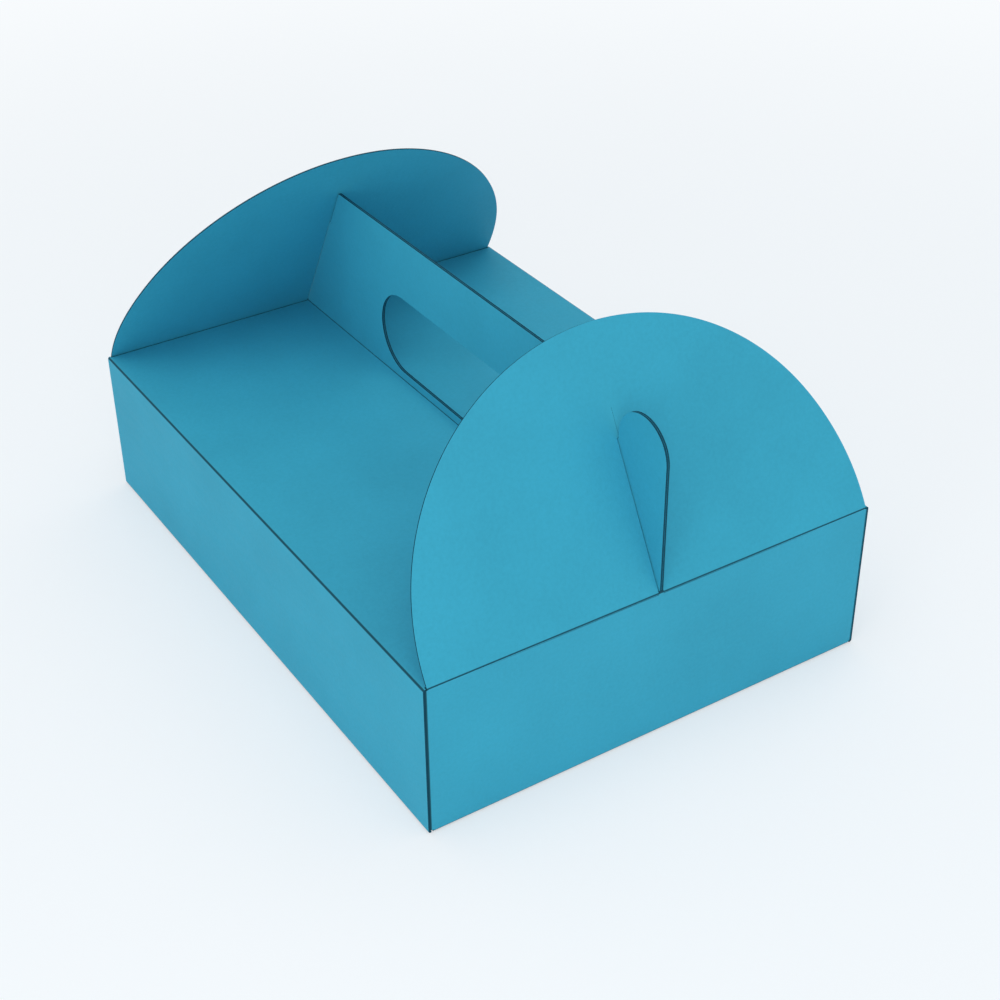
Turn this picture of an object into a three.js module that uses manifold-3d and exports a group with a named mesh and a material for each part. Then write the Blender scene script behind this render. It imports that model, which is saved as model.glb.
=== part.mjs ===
// Takeout food box with a carry handle. It is one sheet of board, folded up from a flat blank. The
// base, two side walls and two end walls make a tray. The side walls go on over the food as two top
// panels, which meet in the middle and turn up, back to back, into a handle with a hand hole. The end
// walls go on as two half-round end flaps, which lean in on their creases, and the ends of the handle
// pass out through their slots.
// Millimetres. +X runs across the width, +Y along the length and +Z up, from the middle of the base.
import * as THREE from 'three';
import { mergeVertices } from 'three/addons/utils/BufferGeometryUtils.js';
import Module from 'manifold-3d';

const wasm = await Module();
wasm.setup();

// Board and creases
const boardThickness = 0.5;
const insideFoldRadius = 0.3;
const foldSteps = 5; // flats round each fold

// Tray, outside to outside
const boxLength = 218;
const boxWidth = 160;
const trayHeight = 53; // from the table to the top panels' upper face
const glueTabLength = 22; // end wall's tabs, glued inside the side walls
const glueTabRelief = 2.5; // tab stops this short of the base and of the top panel
const glueBite = 0.02; // tab's outer face, sunk into the side wall it is glued to
const foldTrim = 0.15; // a sheet's cut edge to the start of the next fold
const sideWallSetback = 0.2; // side wall's cut end, behind the end wall's face
const topPanelEndGap = 0.6; // top panel's cut end to the end wall's inner face

// Handle
const handleHeight = 54; // above the top panels
const handleSeam = 0.15; // between its two layers
const handHoleLength = 102;
const handHoleHeight = 28.8;
const handHoleRise = 3; // edge of the hole above the top panels
const holeSteps = 20; // flats round each end of the hole

// End flaps
const flapTilt = THREE.MathUtils.degToRad(29); // inward from upright
const flapSetback = 1.25; // sides of the flap, in from the sides of the box
const flapRise = 2.2; // straight foot of the flap, from its crease to the start of the half circle
const flapSteps = 96; // flats round the half circle
const swingGap = 0.3; // round a crease, and between a flap and what it passes
const slotSideGap = 0.25; // each side of the handle in the flap's slot
const slotEndSteps = 8; // flats round the top of the slot

// Ends of the handle, outside the flaps
const earFlapGap = 0.05; // ear's round head to the middle of the flap's board
const notchFloorRise = 4; // notch's floor above the point where head and flap are closest
const earSteps = 28; // flats round the ear's head

const sameVertex = 1e-4; // vertices closer than this are one
const blueBoard = new THREE.MeshStandardMaterial({ color: 0x3ca0bf, roughness: 0.6, metalness: 0 });

// Places worked out from the sizes above
const outsideFoldRadius = insideFoldRadius + boardThickness;
const halfBoard = boardThickness / 2;
const halfLength = boxLength / 2;
const halfWidth = boxWidth / 2;
const topPanelEnd = halfLength - boardThickness - topPanelEndGap;
const handleTop = trayHeight + handleHeight;
const handleFoot = trayHeight + insideFoldRadius + swingGap; // underside of the ears
const wallX = halfWidth - halfBoard;
const layerMiddle = handleSeam / 2 + halfBoard;
const creaseY = halfLength - halfBoard;
const creaseZ = trayHeight - halfBoard;
const flapInward = Math.sin(flapTilt);
const flapUp = Math.cos(flapTilt);

// The ear's head is the circle that fits between the end wall's face, the handle's top and the flap.
const headRadius =
  (handleHeight * flapInward + halfBoard * (flapInward + flapUp) - earFlapGap) / (1 + flapInward + flapUp);
const headCentre = new THREE.Vector2(headRadius - halfBoard, handleHeight - headRadius + halfBoard);
const headClosest = headCentre.x * flapInward + headCentre.y * flapUp;
const slotTop = headCentre.length() + headRadius + swingGap;

// A closed geometry as a solid that can be cut and joined.
function solidOf(geometry) {
  const bare = geometry.clone();
  bare.deleteAttribute('normal');
  bare.deleteAttribute('uv');
  const merged = mergeVertices(bare, sameVertex);
  return new wasm.Manifold(
    new wasm.Mesh({
      numProp: 3,
      vertProperties: merged.attributes.position.array,
      triVerts: new Uint32Array(merged.index.array),
    }),
  );
}

// A solid as a geometry with flat shading.
function geometryOf(solid) {
  const mesh = solid.getMesh();
  const indexed = new THREE.BufferGeometry();
  indexed.setAttribute('position', new THREE.BufferAttribute(mesh.vertProperties, 3));
  indexed.setIndex(new THREE.BufferAttribute(mesh.triVerts, 1));
  const geometry = indexed.toNonIndexed();
  geometry.computeVertexNormals();
  return geometry;
}

// A shape drawn along two axes and extruded by depth, half to each side of its plane.
function extruded(shape, depth, across, up, curveSegments = 1) {
  const geometry = new THREE.ExtrudeGeometry(shape, { depth, bevelEnabled: false, curveSegments });
  geometry.translate(0, 0, -depth / 2);
  const out = new THREE.Vector3().crossVectors(across, up);
  geometry.applyMatrix4(new THREE.Matrix4().makeBasis(across, up, out));
  return geometry;
}

// A block between two corners.
function block(low, high) {
  const size = new THREE.Vector3().subVectors(high, low);
  const middle = new THREE.Vector3().addVectors(low, high).multiplyScalar(0.5);
  return solidOf(new THREE.BoxGeometry(size.x, size.y, size.z).translate(middle.x, middle.y, middle.z));
}

// The outline of board that is folded along a path. The path gives the corners of the board's middle
// line, and each corner becomes an arc. Ends are square, or round.
function foldedBoard(corners, roundEnds = false) {
  const turnRadius = insideFoldRadius + halfBoard;
  const middle = []; // points of the middle line, each with the direction of the board there
  const along = (a, b) => b.clone().sub(a).normalize();
  middle.push({ at: corners[0], way: along(corners[0], corners[1]) });
  for (let i = 1; i < corners.length - 1; i++) {
    const before = along(corners[i - 1], corners[i]);
    const after = along(corners[i], corners[i + 1]);
    const turn = Math.atan2(before.cross(after), before.dot(after));
    const setback = turnRadius * Math.tan(Math.abs(turn) / 2);
    const start = corners[i].clone().addScaledVector(before, -setback);
    const side = new THREE.Vector2(-before.y, before.x).multiplyScalar(Math.sign(turn));
    const centre = start.clone().addScaledVector(side, turnRadius);
    for (let step = 0; step <= foldSteps; step++) {
      const angle = (turn * step) / foldSteps;
      const at = start.clone().rotateAround(centre, angle);
      middle.push({ at, way: before.clone().rotateAround(new THREE.Vector2(), angle) });
    }
  }
  const last = corners.length - 1;
  middle.push({ at: corners[last], way: along(corners[last - 1], corners[last]) });

  const beside = ({ at, way }, side) => new THREE.Vector2(at.x - way.y * side, at.y + way.x * side);
  const cap = ({ at, way }, heading) => {
    const points = [];
    const first = way.clone().multiplyScalar(heading);
    for (let step = 1; roundEnds && step < 2 * foldSteps; step++) {
      const angle = Math.PI / 2 - (Math.PI * step) / (2 * foldSteps);
      const spoke = first.clone().rotateAround(new THREE.Vector2(), angle);
      points.push(at.clone().addScaledVector(spoke, halfBoard));
    }
    return points;
  };
  const left = middle.map((place) => beside(place, halfBoard));
  const right = middle.map((place) => beside(place, -halfBoard)).reverse();
  const end = middle[middle.length - 1];
  return new THREE.Shape([...left, ...cap(end, 1), ...right, ...cap(middle[0], -1)]);
}

const xAxis = new THREE.Vector3(1, 0, 0);
const yAxis = new THREE.Vector3(0, 1, 0);
const zAxis = new THREE.Vector3(0, 0, 1);

// Both end walls and the base between them. The top of each wall is rounded round its crease.
function endWalls() {
  const corners = [
    [-creaseY, creaseZ],
    [-creaseY, halfBoard],
    [creaseY, halfBoard],
    [creaseY, creaseZ],
  ].map(([y, z]) => new THREE.Vector2(y, z));
  const width = 2 * (halfWidth - boardThickness - outsideFoldRadius - 2 * foldTrim);
  return solidOf(extruded(foldedBoard(corners, true), width, yAxis, zAxis));
}

// The -Y end wall's two side tabs, with the folds that lead into them.
function glueTabs() {
  const tabX = halfWidth - boardThickness - halfBoard + glueBite;
  const tabEnd = glueTabLength - halfLength;
  const corners = [
    [-tabX, tabEnd],
    [-tabX, -creaseY],
    [tabX, -creaseY],
    [tabX, tabEnd],
  ].map(([x, y]) => new THREE.Vector2(x, y));
  const upright = (low, high) =>
    solidOf(extruded(foldedBoard(corners), high - low, xAxis, yAxis).translate(0, 0, (high + low) / 2));
  const tabs = upright(boardThickness + glueTabRelief, trayHeight - boardThickness - glueTabRelief);
  const folds = upright(outsideFoldRadius + foldTrim, creaseZ - foldTrim);
  const nearFolds = block(
    new THREE.Vector3(-halfWidth, -halfLength - boardThickness, 0),
    new THREE.Vector3(halfWidth, outsideFoldRadius + foldTrim - halfLength, trayHeight),
  );
  return tabs.add(folds.intersect(nearFolds));
}

// A point given by its distance along the leaning flap and its distance inward from the flap's middle,
// as a distance in from the end wall's face and a height above the top panels.
function flapPoint(along, inward) {
  return new THREE.Vector2(
    halfBoard + along * flapInward + inward * flapUp,
    -halfBoard + along * flapUp - inward * flapInward,
  );
}

// One end of the handle's outline: the ear, its round head, and the notch that the flap drops into.
function handleEnd() {
  const points = [new THREE.Vector2(0, -halfBoard)];
  const headMiddle = new THREE.Vector2(headRadius, handleHeight - headRadius);
  const endAngle = Math.asin(Math.min(1, notchFloorRise / headRadius)) - flapTilt;
  for (let step = 0; step <= earSteps; step++) {
    const angle = Math.PI + ((endAngle - Math.PI) * step) / earSteps;
    const spoke = new THREE.Vector2(Math.cos(angle), Math.sin(angle));
    points.push(headMiddle.clone().addScaledVector(spoke, headRadius));
  }
  const edgeInward = halfBoard + swingGap;
  points.push(flapPoint(headClosest + notchFloorRise, edgeInward));
  const topAlong = (handleHeight + halfBoard + edgeInward * flapInward) / flapUp;
  points.push(flapPoint(topAlong, edgeInward));
  return points;
}

// The handle's whole outline, with both ears and the hand hole, and its foot down in the box.
function handleProfile() {
  const end = handleEnd();
  const outline = [
    ...end.map(({ x, y }) => new THREE.Vector2(x - halfLength, y + trayHeight)),
    ...[...end].reverse().map(({ x, y }) => new THREE.Vector2(halfLength - x, y + trayHeight)),
  ];
  const profile = new THREE.Shape(outline);
  const holeRadius = handHoleHeight / 2;
  const holeEnd = handHoleLength / 2 - holeRadius;
  const holeMiddle = trayHeight + handHoleRise + holeRadius;
  const hole = new THREE.Path();
  hole.absarc(holeEnd, holeMiddle, holeRadius, -Math.PI / 2, Math.PI / 2);
  hole.absarc(-holeEnd, holeMiddle, holeRadius, Math.PI / 2, (3 * Math.PI) / 2);
  profile.holes.push(hole);
  return solidOf(extruded(profile, 2 * halfWidth, yAxis, zAxis, holeSteps));
}

// Base, side walls, top panels and both layers of the handle: one strip round the box.
function sleeve() {
  const past = 1; // cuts run this far past the board
  const corners = [
    [-layerMiddle, handleTop + past],
    [-layerMiddle, creaseZ],
    [-wallX, creaseZ],
    [-wallX, halfBoard],
    [wallX, halfBoard],
    [wallX, creaseZ],
    [layerMiddle, creaseZ],
    [layerMiddle, handleTop + past],
  ].map(([x, z]) => new THREE.Vector2(x, z));
  let strip = solidOf(extruded(foldedBoard(corners), boxLength + 2 * past, xAxis, zAxis));

  const endCut = (fromY, halfAcross, lowZ, highZ) =>
    block(
      new THREE.Vector3(-halfAcross, fromY, lowZ),
      new THREE.Vector3(halfAcross, halfLength + 2 * past, highZ),
    );
  const pastFold = outsideFoldRadius + foldTrim;
  const cuts = [
    endCut(topPanelEnd, halfWidth - pastFold, trayHeight - pastFold, handleFoot),
    endCut(halfLength - sideWallSetback, halfWidth + past, -past, trayHeight + foldTrim),
    endCut(halfLength - pastFold, halfWidth - pastFold, -past, boardThickness + past),
  ];
  for (const cut of cuts) strip = strip.subtract(cut).subtract(cut.mirror([0, 1, 0]));

  const aroundHandle = block(
    new THREE.Vector3(-past, -halfLength - 2 * past, handleFoot - swingGap),
    new THREE.Vector3(past, halfLength + 2 * past, handleTop + 2 * past),
  );
  return strip.subtract(aroundHandle.subtract(handleProfile()));
}

function cartonBody() {
  const tabs = glueTabs();
  const folded = sleeve().add(endWalls()).add(tabs).add(tabs.mirror([0, 1, 0]));
  const mesh = new THREE.Mesh(geometryOf(folded), blueBoard);
  mesh.name = 'carton_body';
  return mesh;
}

// A flap stands upright here, with its crease along X through the origin.
function endFlap(name) {
  const foot = halfBoard + swingGap;
  const radius = halfWidth - flapSetback;
  const slotHalf = handleSeam / 2 + boardThickness + slotSideGap;
  const outline = [new THREE.Vector2(radius, foot)];
  for (let step = 0; step <= flapSteps; step++) {
    const angle = (Math.PI * step) / flapSteps;
    outline.push(new THREE.Vector2(radius * Math.cos(angle), flapRise + radius * Math.sin(angle)));
  }
  outline.push(new THREE.Vector2(-radius, foot));
  outline.push(new THREE.Vector2(-slotHalf, foot));
  for (let step = 0; step <= slotEndSteps; step++) {
    const angle = Math.PI - (Math.PI * step) / slotEndSteps;
    outline.push(new THREE.Vector2(slotHalf * Math.cos(angle), slotTop + slotHalf * Math.sin(angle)));
  }
  outline.push(new THREE.Vector2(slotHalf, foot));
  const geometry = extruded(new THREE.Shape(outline), boardThickness, xAxis, zAxis);
  const mesh = new THREE.Mesh(geometry, blueBoard);
  mesh.name = name;
  return mesh;
}

// A crease carries its flap: the crease is placed on the wall, and turned by the flap's lean.
function crease(flap, y, lean) {
  const group = new THREE.Group();
  group.position.set(0, y, creaseZ);
  group.rotation.x = lean;
  group.add(flap);
  return group;
}

const takeoutBox = new THREE.Group();
takeoutBox.add(cartonBody());
takeoutBox.add(crease(endFlap('front_end_flap'), -creaseY, -flapTilt));
takeoutBox.add(crease(endFlap('rear_end_flap'), creaseY, flapTilt));

export default takeoutBox;
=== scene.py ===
import math
from bisect import bisect_right

import bpy
from mathutils import Matrix, Vector
from mathutils.geometry import delaunay_2d_cdt
from mathutils.kdtree import KDTree


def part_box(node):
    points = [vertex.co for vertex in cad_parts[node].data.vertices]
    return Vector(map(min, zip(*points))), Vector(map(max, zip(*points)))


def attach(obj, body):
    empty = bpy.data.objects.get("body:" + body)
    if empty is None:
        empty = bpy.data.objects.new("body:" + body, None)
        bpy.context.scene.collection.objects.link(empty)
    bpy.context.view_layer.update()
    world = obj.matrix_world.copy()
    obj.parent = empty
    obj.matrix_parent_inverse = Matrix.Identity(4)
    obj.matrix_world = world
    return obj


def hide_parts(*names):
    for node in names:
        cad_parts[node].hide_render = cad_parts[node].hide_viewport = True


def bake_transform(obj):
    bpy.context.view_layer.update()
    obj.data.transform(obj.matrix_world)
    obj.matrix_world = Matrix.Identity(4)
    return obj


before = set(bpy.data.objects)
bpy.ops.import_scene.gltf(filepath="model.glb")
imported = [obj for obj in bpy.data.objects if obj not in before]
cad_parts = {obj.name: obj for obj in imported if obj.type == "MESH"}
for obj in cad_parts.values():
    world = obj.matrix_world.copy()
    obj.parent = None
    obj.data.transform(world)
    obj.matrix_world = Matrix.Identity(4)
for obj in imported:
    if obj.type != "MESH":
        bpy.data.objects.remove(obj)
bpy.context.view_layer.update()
MM = 0.001

# Size of the box, read back from the frame
body_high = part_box("carton_body")[1]
HALF_W = body_high.x
HALF_L = body_high.y
HANDLE_TOP = body_high.z

# Board and creases
BOARD = 0.5 * MM
HALF = BOARD / 2
FOLD = 0.3 * MM  # inside radius of a fold
TURN = FOLD + HALF  # radius of the middle of the board in a fold
OUTER = FOLD + BOARD  # outside radius of a fold
TRIM = 0.15 * MM  # a sheet's cut edge to the start of the next fold
SWING = 0.3 * MM  # clearance round a crease, and between a flap and what it passes

# Tray, outside to outside
TRAY = 53 * MM  # from the table to the top panels' upper face
TAB = 22 * MM  # end wall's tabs, glued inside the side walls
TAB_RELIEF = 2.5 * MM  # tab stops this short of the base and of the top panel
WALL_SETBACK = 0.2 * MM  # side wall's cut end, behind the end wall's face
PANEL_GAP = 0.6 * MM  # top panel's cut end to the end wall's inner face
WALL_X = HALF_W - HALF
WALL_END = HALF_L - WALL_SETBACK
PANEL_END = HALF_L - BOARD - PANEL_GAP
BASE_END = HALF_L - OUTER - TRIM  # where the base stops and the fold of its end wall starts
STRIP_HALF = HALF_W - BOARD - OUTER - 2 * TRIM  # half the width of that fold
CREASE_Y = HALF_L - HALF
CREASE_Z = TRAY - HALF
CORNER_LOW = OUTER + TRIM  # the end wall bends round the corners from here
CORNER_HIGH = CREASE_Z - TRIM  # up to here

# How far the middle of each face stands in from flat, as springy board does
BASE_BOW = 0.15 * MM
SIDE_BOW = 0.3 * MM
PANEL_BOW = 0.22 * MM
END_BOW = 0.35 * MM

# Handle
SEAM = 0.15 * MM  # between its two layers
LAYER_X = SEAM / 2 + HALF
HANDLE = HANDLE_TOP - TRAY  # above the top panels
FOOT = TRAY + FOLD + SWING  # underside of the ears
HANDLE_FOOT = FOOT + BOARD  # where the layers stand on the turned-up ends of the top panels
HOLE_LENGTH = 102 * MM
HOLE_HEIGHT = 28.8 * MM
HOLE_RISE = 3 * MM  # edge of the hole above the top panels

# End flaps. A place on a flap is a length up from its crease.
TILT = math.radians(29)  # inward from upright
IN, UP = math.sin(TILT), math.cos(TILT)
FLAP_SETBACK = 1.25 * MM  # sides of the flap, in from the sides of the box
FLAP_R = HALF_W - FLAP_SETBACK
FLAP_RISE = 2.2 * MM  # straight foot of the flap, up to the start of the half circle
FLAP_FOOT = HALF + SWING  # half the width of the crease, which ends at the flap's own board
CREASE_BOARD = 0.98 * BOARD  # a little thinner, so that the crease stays under the faces beside it
CURL = 0.8 * MM  # of the flap's sides, out of its plane
CURL_START = 0.1  # share of the flap's half width that stays flat
CURL_RISE = 0.5  # share of its radius, up from the crease, over which the curl grows

# Ends of the handle, outside the flaps
EAR_GAP = 0.05 * MM  # ear's round head to the middle of the flap's board
NOTCH_RISE = 4 * MM  # notch's floor above the point where head and flap are closest
# the ear's head is the circle that fits between the end wall's face, the handle's top and the flap
HEAD_R = (HANDLE * IN + HALF * (IN + UP) - EAR_GAP) / (1 + IN + UP)
HEAD_C = (HEAD_R, HANDLE - HEAD_R)  # inward from the end wall's face, and up from the top panels
HEAD_NEAR = (HEAD_C[0] - HALF) * IN + (HEAD_C[1] + HALF) * UP  # that point's length up the flap
NOTCH_FLOOR = HEAD_NEAR + NOTCH_RISE

# Slot in each flap. Above the ear's neck it is only a cut that the board closes again.
SLOT_SIDE = 0.25 * MM  # each side of the handle
SLOT_HALF = SEAM / 2 + BOARD + SLOT_SIDE
SLOT_TOP = math.hypot(HEAD_C[0] - HALF, HEAD_C[1] + HALF) + HEAD_R + SWING
NECK_GAP = 0.02 * MM  # notch's floor to the end of the open slot
NECK = NOTCH_FLOOR + NECK_GAP
CUT_TAPER = 0.05 * MM  # over this length the slot closes to the cut
CUT_HALF = 0.03 * MM  # half the width of the cut

# Tongue of the end wall under each ear, between the flap's two creases
TONGUE_GAP = 0.05 * MM
TONGUE = SLOT_HALF - TONGUE_GAP  # half its width
TONGUE_TOP = FOOT - TONGUE_GAP

# How finely the sheets are divided
STEP = 3 * MM  # longest stretch between two points of an outline
SPACING = 4 * MM  # between the points inside it
ROW_SHARE = 0.87  # of the spacing, between two rows of those points
KEEP_OFF = 0.45  # of the spacing, from such a point to the outline's points
KEEP_OFF_LINE = 0.6  # of that distance, from such a point to the outline itself
RUN_STEP = 5 * MM  # longest stretch between two points on a straight run of a strip
FOLD_STEPS = 10
HEAD_STEPS = 60
HOLE_STEPS = 48  # round each end of the hole
RIM_STEPS = 180  # round the rim of a flap
WALL_LEVELS = 12
CREASE_STEPS = 12  # across each crease
CREASE_PARTS = 30  # along each crease
PANEL_ROWS = math.ceil(2 * PANEL_END / STEP)
HALVINGS = 40  # to find the place of a step
SAME = 1e-6  # metres, closer than this two places are one
TINY = 1e-7  # metres, shortest side of an outline
ROUNDING = 1e-12
FACING = 0.99  # share of a direction along an axis, above which a face looks that way

# Look of the board. A pattern is given by its waves for each metre, its detail and its roughness.
BOARD_COLOUR = (0.045, 0.392, 0.560, 1)
# painted shade: a near-black blue laid over the creases and the tongues under the ears
CREASE_SHADE_COLOUR = (0.004, 0.036, 0.056, 1)
CUT_COLOUR = (0.006, 0.046, 0.072, 1)
CLOUDS = (26.0, 4.0, 0.55)
CLOUD_RANGE = (0.3, 0.7)  # of the pattern, over which the darker colour comes in
CLOUD_DEPTH = 0.91  # brightness of that darker colour
FIBRES = (900.0, 6.0, 0.62)
FIBRE_RANGE = (0.35, 0.7)
FIBRE_DEPTH = 0.55
FIBRE_SHARE = 0.16  # most that the fibres show
GRAIN = (620.0, 4.0, 0.5)
GRAIN_STRETCH = (1.0, 0.16, 1.0)  # the grain runs along Y
GRAIN_RELIEF = 0.6  # share of the grain in the fine relief
WAVES = (17.0, 1.0, 0.5)
BOARD_ROUGH = (0.52, 0.66)
BOARD_SPECULAR = 0.10
CREASE_RANGE = (0.30, 0.82)  # of the crease's strength, over which the painted crease shade comes in
CREASE_SHADE_MOST = 0.9  # most that the painted crease shade covers
FINE_RELIEF = (0.30, 0.15 * MM)  # strength and depth
SLOW_RELIEF = (1.0, 0.6 * MM)
CUT_FIBRES = (1500.0, 5.0, 0.5)
CUT_LIGHT = 1.7  # brightness of the lighter fibres in a cut edge
CUT_ROUGH = 0.9
CUT_SPECULAR = 0.08
CUT_RELIEF = (0.4, 0.1 * MM)

# Stage and light
BACKGROUND = (0.955, 0.98, 1.0, 1)
FLOOR_HALF = 4.0
FLOOR_DROP = 0.1 * MM  # below the box, so that the two don't share a face
FLOOR_COLOURS = ((0.92, 0.955, 0.98, 1), (0.945, 0.97, 0.99, 1))
HAZE = (3.0, 2.0, 0.5)
FLOOR_ROUGH = 0.95
FLOOR_SPECULAR = 0.1
FLOOR_LIFT = 0.45  # share of the floor by the box that shows the background colour, lit or not
FADE_START, FADE_END = 0.25, 0.80  # metres from the box's middle, where it starts to grow and is whole
SKY_COLOUR = (0.93, 0.97, 1.0, 1)
SKY_STRENGTH = 0.72
BOX_MIDDLE = (0, 0, 0.05)

# Camera, fitted to the corners of the drawn box
SENSOR = 36  # millimetres, as the camera takes it
FOCAL_LENGTH = 64.715  # millimetres
CAMERA_PLACE = (-0.261895, -0.433603, 0.366109)
AZIMUTH, ELEVATION, ROLL = (math.radians(angle) for angle in (-32.5155, 34.0742, -0.5023))
CLIP_START, CLIP_END = 0.01, 20


# Mesh helpers
def smooth(t):
    t = min(1.0, max(0.0, t))
    return t * t * (3 - 2 * t)


def steps_between(low, high, count):
    return [low + (high - low) * i / count for i in range(count + 1)]


class Sheet:
    """A thick sheet. Points of the flat blank are placed on the folded middle surface by place(u, v),
    which returns the point, the outward direction and the crease strength there."""

    def __init__(self, name, place):
        self.name, self.place = name, place
        self.points, self.faces = [], []

    def grid(self, us, vs):
        """Quads between the places us and vs of the blank."""
        rows = [[self._add(u, v) for v in vs] for u in us]
        for a, b in zip(rows, rows[1:]):
            for i in range(len(a) - 1):
                self.faces.append((a[i], a[i + 1], b[i + 1], b[i]))

    def outline(self, rings):
        """Triangles inside the first ring and outside the others, with points between them."""
        points, edges = [], []
        for ring in rings:
            start = len(points)
            points += [Vector(p) for p in ring]
            edges += [(start + i, start + (i + 1) % len(ring)) for i in range(len(ring))]
        points += inner_points(rings)
        made, _, triangles, _, _, _ = delaunay_2d_cdt(points, edges, [], 0, TINY)
        index = [self._add(p.x, p.y) for p in made]
        for triangle in triangles:
            middle = sum((made[k] for k in triangle), Vector((0, 0))) / 3
            if inside(middle, rings):
                self.faces.append(tuple(index[k] for k in triangle))

    def turn_over(self):
        self.faces = [tuple(reversed(f)) for f in self.faces]

    def _add(self, u, v):
        self.points.append(self.place(u, v))
        return len(self.points) - 1

    def build(self, thickness=BOARD):
        """The sheet as an object: two skins, and a rim of cut board on each edge that only one face uses."""
        sides = [side for f in self.faces for side in zip(f, f[1:] + f[:1])]
        known = set(sides)
        rims = [(b, a) for a, b in sides if (b, a) not in known]
        n = len(self.points)
        verts, crease = [], []
        for side in (0.5, -0.5):
            for at, out, mark in self.points:
                verts.append(at + out * (side * thickness))
                crease.append(mark)
        faces = list(self.faces)
        faces += [tuple(i + n for i in reversed(f)) for f in self.faces]
        skins = len(faces)
        faces += [(a, b, b + n, a + n) for a, b in rims]
        mesh = bpy.data.meshes.new(self.name)
        mesh.from_pydata(verts, [], faces)
        mesh.materials.append(BLUE)
        mesh.materials.append(CUT)
        mesh.attributes.new("crease", "FLOAT", "POINT").data.foreach_set("value", crease)
        for i, poly in enumerate(mesh.polygons):
            poly.material_index = 0 if i < skins else 1
            poly.use_smooth = i < skins
        mesh.update()
        sharp = {tuple(sorted(e)) for e in rims}
        sharp |= {(a + n, b + n) for a, b in sharp}
        for e in mesh.edges:
            if tuple(sorted(e.vertices)) in sharp:
                e.use_edge_sharp = True
        made = bpy.data.objects.new(self.name, mesh)
        bpy.context.scene.collection.objects.link(made)
        return made


def one_sheet(name, parts):
    """The parts as one sheet, in which points at the same place are one."""
    made = Sheet(name, None)
    for part in parts:
        start = len(made.points)
        made.points += part.points
        made.faces += [tuple(start + i for i in f) for f in part.faces]
    near = KDTree(len(made.points))
    for i, point in enumerate(made.points):
        near.insert(point[0], i)
    near.balance()
    first = [min(found[1] for found in near.find_range(point[0], SAME)) for point in made.points]
    kept = [i for i, j in enumerate(first) if i == j]
    number = {i: k for k, i in enumerate(kept)}
    made.points = [made.points[i] for i in kept]
    made.faces = [tuple(number[first[i]] for i in f) for f in made.faces]
    return made


def inner_points(rings):
    """An even pattern of points inside the first ring and outside the others, clear of all of them."""
    low = [min(p[i] for p in rings[0]) for i in (0, 1)]
    high = [max(p[i] for p in rings[0]) for i in (0, 1)]
    near = SPACING * KEEP_OFF
    cells = {}
    for ring in rings:
        for p in ring:
            cells.setdefault((int(p[0] // near), int(p[1] // near)), []).append(p)
    made = []
    for j in range(int((high[1] - low[1]) / SPACING) + 2):
        for i in range(int((high[0] - low[0]) / SPACING) + 2):
            p = (low[0] + (i + 0.5 * (j % 2)) * SPACING, low[1] + j * SPACING * ROW_SHARE)
            if not inside(p, rings):
                continue
            cx, cy = int(p[0] // near), int(p[1] // near)
            close = any(math.dist(p, q) < near for dx in (-1, 0, 1) for dy in (-1, 0, 1)
                        for q in cells.get((cx + dx, cy + dy), ()))
            if not close and rim_distance(p, rings) > near * KEEP_OFF_LINE:
                made.append(Vector(p))
    return made


def inside(p, rings):
    hit = False
    for ring in rings:
        for (x1, y1), (x2, y2) in zip(ring, ring[1:] + ring[:1]):
            if (y1 > p[1]) != (y2 > p[1]) and p[0] < (x2 - x1) * (p[1] - y1) / (y2 - y1) + x1:
                hit = not hit
    return hit


def rim_distance(p, rings):
    best = math.inf
    for ring in rings:
        for (x1, y1), (x2, y2) in zip(ring, ring[1:] + ring[:1]):
            dx, dy = x2 - x1, y2 - y1
            t = ((p[0] - x1) * dx + (p[1] - y1) * dy) / (dx * dx + dy * dy)
            t = min(1.0, max(0.0, t))
            best = min(best, math.hypot(p[0] - x1 - t * dx, p[1] - y1 - t * dy))
    return best


def arc(centre, radius, start, end, steps):
    return [(centre[0] + radius * math.cos(angle), centre[1] + radius * math.sin(angle))
            for angle in steps_between(start, end, steps)]


def ring_of(points):
    """A closed outline through the points, with more points where a side is long."""
    made = []
    for a, b in zip(points, points[1:] + points[:1]):
        if math.dist(a, b) > TINY:
            n = math.ceil(math.dist(a, b) / STEP)
            made += [(a[0] + (b[0] - a[0]) * i / n, a[1] + (b[1] - a[1]) * i / n) for i in range(n)]
    return made


def turned(v, angle):
    c, s = math.cos(angle), math.sin(angle)
    return Vector((v.x * c - v.y * s, v.x * s + v.y * c))


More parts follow.
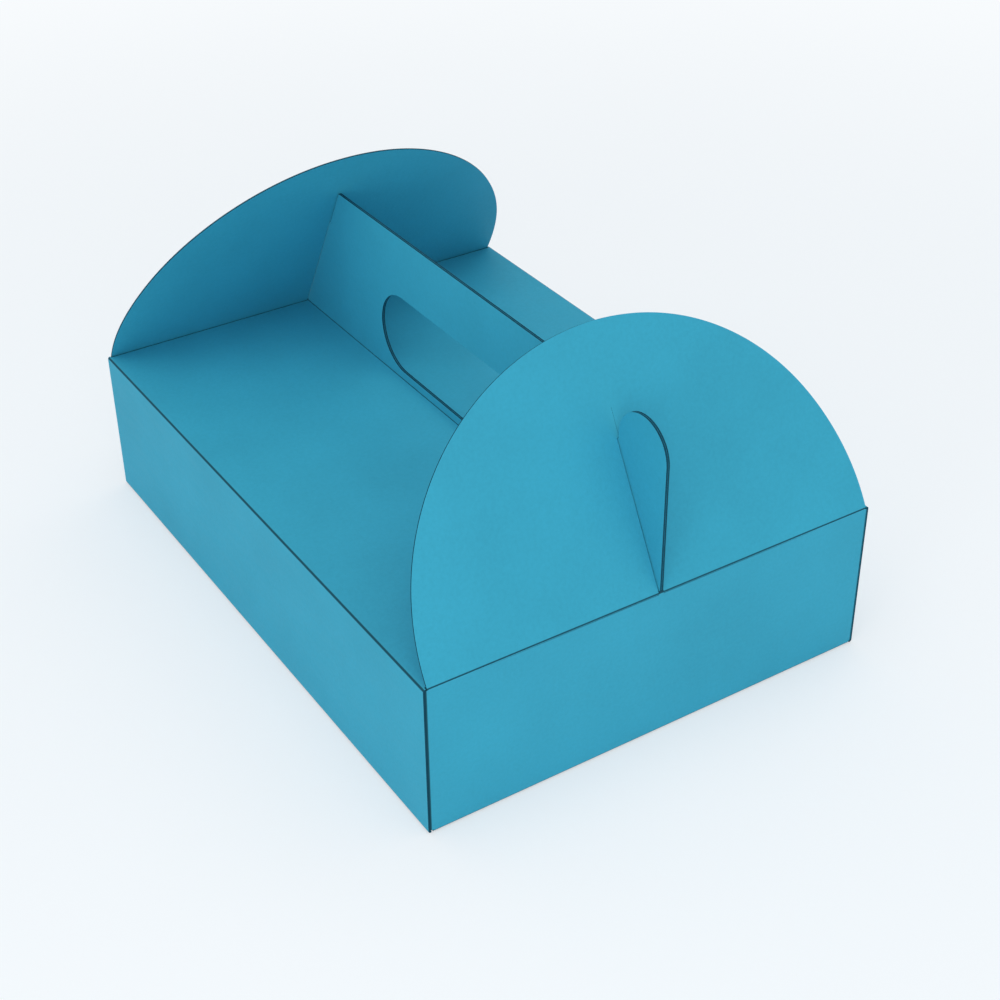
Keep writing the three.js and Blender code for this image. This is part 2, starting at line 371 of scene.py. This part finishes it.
class Ribbon:
    """The path of the middle of a folded strip: straight runs joined by arcs."""

    def __init__(self, corners):
        corners = [Vector(corner) for corner in corners]
        self.stops = []  # length along, point, direction, crease strength
        self.runs = []
        at, length = corners[0], 0.0
        for i in range(1, len(corners)):
            way = (corners[i] - corners[i - 1]).normalized()
            turn = 0.0
            if i < len(corners) - 1:
                after = (corners[i + 1] - corners[i]).normalized()
                turn = math.atan2(way.x * after.y - way.y * after.x, way.dot(after))
            end = corners[i] - way * (TURN * math.tan(abs(turn) / 2))
            run = (end - at).length
            n = max(2, math.ceil(run / RUN_STEP))
            self.runs.append((length, length + run))
            for k in range(0 if i == 1 else 1, n + 1):
                self.stops.append((length + run * k / n, at + way * (run * k / n), way, 0.0))
            length += run
            if turn:
                centre = end + Vector((-way.y, way.x)) * math.copysign(TURN, turn)
                for k in range(1, FOLD_STEPS + 1):
                    angle = turn * k / FOLD_STEPS
                    at = centre + turned(end - centre, angle)
                    mark = math.sin(math.pi * k / FOLD_STEPS)
                    self.stops.append((length + TURN * abs(angle), at, turned(way, angle), mark))
                length += TURN * abs(turn)
        self.length = length
        self.marks = [stop[0] for stop in self.stops]

    def at(self, s):
        """The point, direction and crease strength at length s."""
        low = min(max(bisect_right(self.marks, s + ROUNDING) - 1, 0), len(self.stops) - 2)
        a, b = self.stops[low], self.stops[low + 1]
        t = min(1.0, max(0.0, (s - a[0]) / max(ROUNDING, b[0] - a[0])))
        return a[1].lerp(b[1], t), a[2].lerp(b[2], t).normalized(), a[3] + (b[3] - a[3]) * t

    def run_bow(self, s):
        """1 in the middle of a straight run and 0 at its ends."""
        for low, high in self.runs:
            if low < s < high:
                t = (s - low) / (high - low)
                return 4 * t * (1 - t)
        return 0.0


# Material helpers
def feed(tree, socket, value):
    if isinstance(value, bpy.types.NodeSocket):
        tree.links.new(value, socket)
    else:
        socket.default_value = value


def node(tree, kind, at, *first, **values):
    """A node with its first inputs fed in order. Each other value goes to the input of its name, where an
    underscore stands for a space, or else to the property of its name."""
    made = tree.nodes.new(kind)
    made.location = at
    for key, value in values.items():
        name = key.replace("_", " ")
        if name in made.inputs:
            feed(tree, made.inputs[name], value)
        else:
            setattr(made, key, value)
    for socket, value in zip(made.inputs, first):
        feed(tree, socket, value)
    return made


def noise(tree, at, place, scale, detail, roughness):
    return node(tree, "ShaderNodeTexNoise", at, Vector=place, Scale=scale, Detail=detail,
                Roughness=roughness).outputs[0]


def spread(tree, at, value, old, new=(0.0, 1.0)):
    """The value, taken from the old range to the new one."""
    return node(tree, "ShaderNodeMapRange", at, Value=value, From_Min=old[0], From_Max=old[1],
                To_Min=new[0], To_Max=new[1]).outputs[0]


def mix(tree, at, share, a, b):
    return node(tree, "ShaderNodeMix", at, data_type="RGBA", Factor=share, A=a, B=b).outputs["Result"]


def relief(tree, at, height, strength_depth, **below):
    strength, depth = strength_depth
    return node(tree, "ShaderNodeBump", at, Height=height, Strength=strength, Distance=depth,
                **below).outputs[0]


def scaled(colour, share):
    return [min(1.0, c * share) for c in colour[:3]] + [1]


def new_material(name):
    """A new material, its emptied tree, and the coordinates of the object that has it."""
    material = bpy.data.materials.new(name)
    material.use_nodes = True
    tree = material.node_tree
    tree.nodes.clear()
    return material, tree, node(tree, "ShaderNodeTexCoord", (-1400, 0)).outputs["Object"]


# Materials of the board
def board_material():
    """Board with a thin satin coat: faint clouds in the colour, pressed fibres under the coat, and painted
    shade darkening the creases and the tongues under the ears."""
    material, tree, place = new_material("blue_board_coat")
    clouds = noise(tree, (-1000, 300), place, *CLOUDS)
    fibres = noise(tree, (-1000, 0), place, *FIBRES)
    stretch = node(tree, "ShaderNodeMapping", (-1200, -300), Vector=place, Scale=GRAIN_STRETCH)
    grain = noise(tree, (-1000, -300), stretch.outputs[0], *GRAIN)
    waves = noise(tree, (-400, -600), place, *WAVES)
    crease = node(tree, "ShaderNodeAttribute", (-1000, -600), attribute_name="crease").outputs["Fac"]

    cloud_share = spread(tree, (-700, 300), clouds, CLOUD_RANGE)
    colour = mix(tree, (-400, 300), cloud_share, BOARD_COLOUR, scaled(BOARD_COLOUR, CLOUD_DEPTH))
    fibre_share = spread(tree, (-700, 80), fibres, FIBRE_RANGE, (0.0, FIBRE_SHARE))
    colour = mix(tree, (-200, 200), fibre_share, colour, scaled(BOARD_COLOUR, FIBRE_DEPTH))
    # painted shade: the colour darkens towards near-black with the crease strength, which is full on the
    # tongues
    crease_shade_share = spread(tree, (-700, -600), crease, CREASE_RANGE, (0.0, CREASE_SHADE_MOST))
    colour = mix(tree, (0, 200), crease_shade_share, colour, CREASE_SHADE_COLOUR)

    rough = spread(tree, (-400, -100), grain, (0.0, 1.0), BOARD_ROUGH)
    height = node(tree, "ShaderNodeMath", (-400, -350), grain, GRAIN_RELIEF, fibres,
                  operation="MULTIPLY_ADD").outputs[0]
    slow = relief(tree, (0, -600), waves, SLOW_RELIEF)
    normal = relief(tree, (300, -350), height, FINE_RELIEF, Normal=slow)
    shade = node(tree, "ShaderNodeBsdfPrincipled", (600, 0), Base_Color=colour, Roughness=rough,
                 Specular_IOR_Level=BOARD_SPECULAR, Normal=normal)
    node(tree, "ShaderNodeOutputMaterial", (900, 0), Surface=shade.outputs[0])
    return material


def edge_material():
    """Cut board seen edge-on: rough fibre in thin layers."""
    material, tree, place = new_material("cut_board")
    fibres = noise(tree, (-1000, 0), place, *CUT_FIBRES)
    colour = mix(tree, (-300, 100), fibres, CUT_COLOUR, scaled(CUT_COLOUR, CUT_LIGHT))
    shade = node(tree, "ShaderNodeBsdfPrincipled", (0, 0), Base_Color=colour, Roughness=CUT_ROUGH,
                 Specular_IOR_Level=CUT_SPECULAR, Normal=relief(tree, (-300, -250), fibres, CUT_RELIEF))
    node(tree, "ShaderNodeOutputMaterial", (300, 0), Surface=shade.outputs[0])
    return material


BLUE = board_material()
CUT = edge_material()

# Tray, top panels and the handle's feet: one strip of board round the box
corners = [(-LAYER_X, HANDLE_FOOT), (-LAYER_X, CREASE_Z), (-WALL_X, CREASE_Z), (-WALL_X, HALF)]
corners += [(-x, z) for x, z in reversed(corners)]
SLEEVE = Ribbon(corners)
SLEEVE_MIDDLE = SLEEVE.length / 2
SLEEVE_MARKS = SLEEVE.marks + [SLEEVE_MIDDLE + x for x in (-STRIP_HALF, -TONGUE, TONGUE, STRIP_HALF)]
SLEEVE_MARKS.sort()
# places across the base that the end walls share
ACROSS = [s - SLEEVE_MIDDLE for s in SLEEVE_MARKS if abs(s - SLEEVE_MIDDLE) < STRIP_HALF + SAME]


def sleeve_bow(at, way):
    """How far the middle of the face through this place stands in."""
    if at.y > TRAY:
        return 0.0
    if abs(way.x) < FACING:
        return SIDE_BOW
    return PANEL_BOW if at.y > TRAY / 2 else BASE_BOW


def sleeve_place(s, y):
    at, way, mark = SLEEVE.at(s)
    inward = Vector((-way.y, way.x))  # the path runs anticlockwise round the inside of the box
    share = SLEEVE.run_bow(s) * max(0.0, 1 - (abs(y) / BASE_END) ** 2)
    at = at + inward * (share * sleeve_bow(at, way))
    return Vector((at.x, y, at.y)), Vector((-inward.x, 0, -inward.y)), mark


def sleeve_reach(s):
    """How far the strip runs along Y from the middle, at length s along its path."""
    at = SLEEVE.at(s)[0]
    if abs(at.x) < HALF_W - OUTER - TRIM:
        if at.y > TRAY - OUTER - TRIM:
            return PANEL_END
        if at.y < OUTER + TRIM:
            return BASE_END
    return WALL_END


def sleeve_spans():
    """The strip's marks in groups with one reach each, and a mark on both sides of each step."""
    spans = [SLEEVE_MARKS[:1]]
    for a, b in zip(SLEEVE_MARKS, SLEEVE_MARKS[1:]):
        if abs(sleeve_reach(a) - sleeve_reach(b)) > SAME:
            low, high = a, b
            for _ in range(HALVINGS):
                middle = (low + high) / 2
                if abs(sleeve_reach(middle) - sleeve_reach(a)) < SAME:
                    low = middle
                else:
                    high = middle
            spans[-1].append(low)
            spans.append([high])
        spans[-1].append(b)
    return spans


def rows(reach):
    """Places along Y out to reach. Up to the shortest reach they are the same for every grid, and the same
    as the points on the foot of the handle's layers."""
    inner = [PANEL_END * (2 * i / PANEL_ROWS - 1) for i in range(PANEL_ROWS + 1)]
    outer = [y for y in (BASE_END, WALL_END) if y < reach + SAME]
    return [-y for y in reversed(outer)] + inner + outer


def sleeve():
    made = Sheet("sleeve", sleeve_place)
    for span in sleeve_spans():
        made.grid(span, rows(sleeve_reach((span[0] + span[-1]) / 2)))
    return made


# Handle layers
def beside_flap(along):
    """A place just inside the flap, at a length along it from its crease. It is given inward from the end
    wall's face and up from the top panels."""
    inward = HALF + SWING
    return (HALF + along * IN + inward * UP, -HALF + along * UP - inward * IN)


def ear_outline():
    """The end of the handle, from its underside over the ear's head and the notch to its top edge, inward
    from the end wall's face and up from the top panels."""
    head_end = math.asin(NOTCH_RISE / HEAD_R) - TILT
    points = [(0.0, FOOT - TRAY)] + arc(HEAD_C, HEAD_R, math.pi, head_end, HEAD_STEPS)
    top = (HANDLE + HALF + (HALF + SWING) * IN) / UP
    return points + [beside_flap(NOTCH_FLOOR), beside_flap(top)]


def handle_rings():
    """The outlines of a layer and of its hand hole, in Y and Z."""
    ear = ear_outline()
    layer = [(x - HALF_L, z + TRAY) for x, z in ear]
    layer += [(HALF_L - x, z + TRAY) for x, z in reversed(ear)]
    # the undersides of the ears run in to the ends of the top panels, and the layer stands on its foot
    layer += [(PANEL_END, FOOT), (PANEL_END, HANDLE_FOOT), (-PANEL_END, HANDLE_FOOT), (-PANEL_END, FOOT)]
    radius = HOLE_HEIGHT / 2
    end = HOLE_LENGTH / 2 - radius
    middle = TRAY + HOLE_RISE + radius
    hole = arc((end, middle), radius, -math.pi / 2, math.pi / 2, HOLE_STEPS)
    hole += arc((-end, middle), radius, math.pi / 2, 3 * math.pi / 2, HOLE_STEPS)
    return [ring_of(layer), ring_of(hole)]


def handle_layer(side):
    def place(y, z):
        return Vector((side * LAYER_X, y, z)), Vector((side, 0, 0)), 0.0

    layer = Sheet("handle_layer", place)
    layer.outline(handle_rings())
    if side < 0:
        layer.turn_over()
    return layer


# End walls
def wall_bow(x, z):
    return END_BOW * max(0.0, 1 - (x / HALF_W) ** 2) * math.sin(math.pi * min(1, max(0, z / TRAY)))


def end_wall(side):
    """An end wall and its two glue tabs, bent round the corners of the tray."""
    tab_x = HALF_W - BOARD - HALF
    tab_end = HALF_L - TAB
    path = Ribbon([(-tab_x, tab_end), (-tab_x, CREASE_Y), (tab_x, CREASE_Y), (tab_x, tab_end)])
    middle = path.length / 2
    first_fold, last_fold = path.runs[0][1], path.runs[2][0]  # outer ends of the two corners
    start, end = first_fold - TRIM, last_fold + TRIM

    def place(s, z):
        at, way, mark = path.at(s)
        out = Vector((-way.y, way.x))
        if abs(out.y) > FACING:
            at = at - out * wall_bow(at.x, z)
        return Vector((at.x, side * at.y, z)), Vector((out.x, side * out.y, 0)), mark

    wall = Sheet("end_wall", place)
    levels = steps_between(BOARD + TAB_RELIEF, TRAY - BOARD - TAB_RELIEF, WALL_LEVELS)
    wide = [s for s in path.marks if start < s < end and abs(s - middle) > STRIP_HALF + SAME]
    wide += [start, end] + [middle + x for x in ACROSS]
    wall.grid(sorted(wide), [CORNER_LOW] + levels + [CORNER_HIGH])
    wall.grid([0.0, first_fold / 2, start], levels)
    wall.grid([end, (last_fold + path.length) / 2, path.length], levels)
    if side < 0:
        wall.turn_over()
    return wall


def wall_edges(side):
    """The fold from the base up into an end wall, the last of the wall below its crease, and the tongue
    that the wall keeps under the ear."""
    path = Ribbon([(BASE_END, HALF), (CREASE_Y, HALF), (CREASE_Y, CREASE_Z)])
    end = path.length

    def place(s, x):
        at, way, mark = path.at(s)
        out = Vector((way.y, -way.x))
        shift = wall_bow(x, at.y) if out.x > FACING else 0.0
        past = max(0.0, s - end)  # the tongue goes straight on, and gets full crease strength, so it is painted dark with the crease's painted shade
        point = Vector((x, side * (at.x - shift), at.y + past))
        return point, Vector((0, side * out.x, out.y)), 1.0 if past else mark

    strip = Sheet("wall_edges", place)
    fold = [s for s in path.marks if path.at(s)[0].y < CORNER_LOW]
    strip.grid(fold + [end - (CREASE_Z - CORNER_LOW)], ACROSS)
    top = CREASE_Z - CORNER_HIGH
    strip.grid([end - top, end - top / 2, end], ACROSS)
    strip.grid([end, end + TONGUE_GAP, end + TONGUE_TOP - CREASE_Z], [-TONGUE, 0.0, TONGUE])
    if side > 0:
        strip.turn_over()
    return strip


parts = [sleeve()]
parts += [handle_layer(side) for side in (-1, 1)]
parts += [make(side) for side in (-1, 1) for make in (end_wall, wall_edges)]
carton = one_sheet("carton_board", parts).build()
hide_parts("carton_body")
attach(carton, "carton")


# End flaps and their creases
def end_flap(side, name):
    def place(x, r):
        across = (abs(x) / FLAP_R - CURL_START) / (1 - CURL_START)
        curl = CURL * smooth(across) * smooth(r / (CURL_RISE * FLAP_R))
        out = Vector((0, side * UP, IN))
        return Vector((x, side * (CREASE_Y - r * IN), CREASE_Z + r * UP)) - out * curl, out, 0.0

    slot = [(-SLOT_HALF, FLAP_FOOT), (-SLOT_HALF, NECK)]
    slot += [(-CUT_HALF, NECK + CUT_TAPER), (-CUT_HALF, SLOT_TOP)]
    ring = [(FLAP_R, FLAP_FOOT)] + arc((0, FLAP_RISE), FLAP_R, 0, math.pi, RIM_STEPS)
    ring += [(-FLAP_R, FLAP_FOOT)] + slot + [(-x, r) for x, r in reversed(slot)]
    flap = Sheet(name, place)
    flap.outline([ring_of(ring)])
    if side > 0:
        flap.turn_over()
    return flap.build()


def flap_crease(side, name):
    """The board that bends from the top of the wall into the foot of the flap."""
    def place(s, x):
        along = s - FLAP_FOOT
        share = s / (2 * FLAP_FOOT)
        if along < 0:
            at = Vector((x, side * CREASE_Y, CREASE_Z + along))
        else:
            at = Vector((x, side * (CREASE_Y - along * IN), CREASE_Z + along * UP))
        lean = TILT * smooth(share)
        return at, Vector((0, side * math.cos(lean), math.sin(lean))), math.sin(math.pi * share)

    crease = Sheet(name, place)
    for low, high in ((-FLAP_R, -SLOT_HALF), (SLOT_HALF, FLAP_R)):
        crease.grid(steps_between(0, 2 * FLAP_FOOT, CREASE_STEPS), steps_between(low, high, CREASE_PARTS))
    if side > 0:
        crease.turn_over()
    return crease.build(CREASE_BOARD)


for side, body, cad in ((-1, "front_flap", "front_end_flap"), (1, "rear_flap", "rear_end_flap")):
    made = end_flap(side, cad + "_board")
    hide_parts(cad)
    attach(made, body)

    made = flap_crease(side, body + "_crease")
    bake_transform(made)


# Stage, lights and camera
def seen_rays(tree):
    """1 where the camera sees something straight, in a reflection or through glass."""
    rays = node(tree, "ShaderNodeLightPath", (-400, 200)).outputs
    either = node(tree, "ShaderNodeMath", (-200, 200), rays["Is Camera Ray"], rays["Is Glossy Ray"],
                  operation="MAXIMUM")
    return node(tree, "ShaderNodeMath", (-100, 300), either.outputs[0], rays["Is Transmission Ray"],
                operation="MAXIMUM").outputs[0]


def floor_material():
    """Pale paper that takes the shadow by the box and fades to the background away from it."""
    material, tree, place = new_material("floor_paper")
    colour = mix(tree, (-300, 100), noise(tree, (-700, 0), place, *HAZE), *FLOOR_COLOURS)
    paper = node(tree, "ShaderNodeBsdfPrincipled", (0, 0), Base_Color=colour, Roughness=FLOOR_ROUGH,
                 Specular_IOR_Level=FLOOR_SPECULAR)
    lift = node(tree, "ShaderNodeEmission", (0, -300), Color=BACKGROUND)
    away = node(tree, "ShaderNodeVectorMath", (-700, 500), place, operation="LENGTH").outputs["Value"]
    fade = node(tree, "ShaderNodeMapRange", (-400, 500), Value=away, interpolation_type="SMOOTHSTEP",
                From_Min=FADE_START, From_Max=FADE_END, To_Min=FLOOR_LIFT)
    share = node(tree, "ShaderNodeMath", (0, 300), seen_rays(tree), fade.outputs[0], operation="MULTIPLY")
    lifted = node(tree, "ShaderNodeMixShader", (300, 0), share.outputs[0], paper.outputs[0], lift.outputs[0])
    node(tree, "ShaderNodeOutputMaterial", (600, 0), Surface=lifted.outputs[0])
    return material


floor_mesh = bpy.data.meshes.new("floor")
floor_corners = [(x * FLOOR_HALF, y * FLOOR_HALF, 0) for x, y in ((-1, -1), (1, -1), (1, 1), (-1, 1))]
floor_mesh.from_pydata(floor_corners, [], [(0, 1, 2, 3)])
floor_mesh.materials.append(floor_material())
floor = bpy.data.objects.new("floor", floor_mesh)
floor.location.z = -FLOOR_DROP
bpy.context.scene.collection.objects.link(floor)


def area_light(name, at, aim, size, power, colour=(1.0, 1.0, 1.0)):
    data = bpy.data.lights.new(name, "AREA")
    data.shape = "SQUARE"
    data.size = size
    data.energy = power
    data.color = colour
    made = bpy.data.objects.new(name, data)
    made.location = at
    made.rotation_mode = "QUATERNION"
    made.rotation_quaternion = (Vector(aim) - Vector(at)).to_track_quat("-Z", "Y")
    bpy.context.scene.collection.objects.link(made)


area_light("front_left", at=(-0.45, -0.95, 0.45), aim=BOX_MIDDLE, size=0.50, power=1.45,
           colour=(1.0, 1.0, 0.99))
area_light("left_low", at=(-0.95, -0.55, 0.28), aim=(0, 0, 0.08), size=0.30, power=1.20)
area_light("overhead", at=(-0.25, -0.15, 1.25), aim=BOX_MIDDLE, size=0.90, power=2.80)
area_light("right_top", at=(0.90, 0.30, 1.00), aim=(0, 0, 0), size=0.90, power=1.00)

world = bpy.data.worlds.new("studio")
bpy.context.scene.world = world
world.use_nodes = True
tree = world.node_tree
tree.nodes.clear()
seen = node(tree, "ShaderNodeBackground", (0, 100), Color=BACKGROUND)
sky = node(tree, "ShaderNodeBackground", (0, -100), Color=SKY_COLOUR, Strength=SKY_STRENGTH)
mixed = node(tree, "ShaderNodeMixShader", (300, 0), seen_rays(tree), sky.outputs[0], seen.outputs[0])
node(tree, "ShaderNodeOutputWorld", (600, 0), Surface=mixed.outputs[0])

camera_data = bpy.data.cameras.new("camera")
camera_data.sensor_width = SENSOR
camera_data.lens = FOCAL_LENGTH
camera_data.clip_start = CLIP_START
camera_data.clip_end = CLIP_END
camera = bpy.data.objects.new("camera", camera_data)
bpy.context.scene.collection.objects.link(camera)
back = Vector((math.sin(AZIMUTH) * math.cos(ELEVATION), -math.cos(AZIMUTH) * math.cos(ELEVATION),
               math.sin(ELEVATION)))
right = Vector((math.cos(AZIMUTH), math.sin(AZIMUTH), 0))
up = back.cross(right)
camera_x = right * math.cos(ROLL) + up * math.sin(ROLL)
camera_y = up * math.cos(ROLL) - right * math.sin(ROLL)
turn = Matrix((camera_x, camera_y, back)).transposed().to_4x4()
camera.matrix_world = Matrix.Translation(CAMERA_PLACE) @ turn
bpy.context.scene.camera = camera
bpy.context.scene.view_settings.view_transform = "Standard"
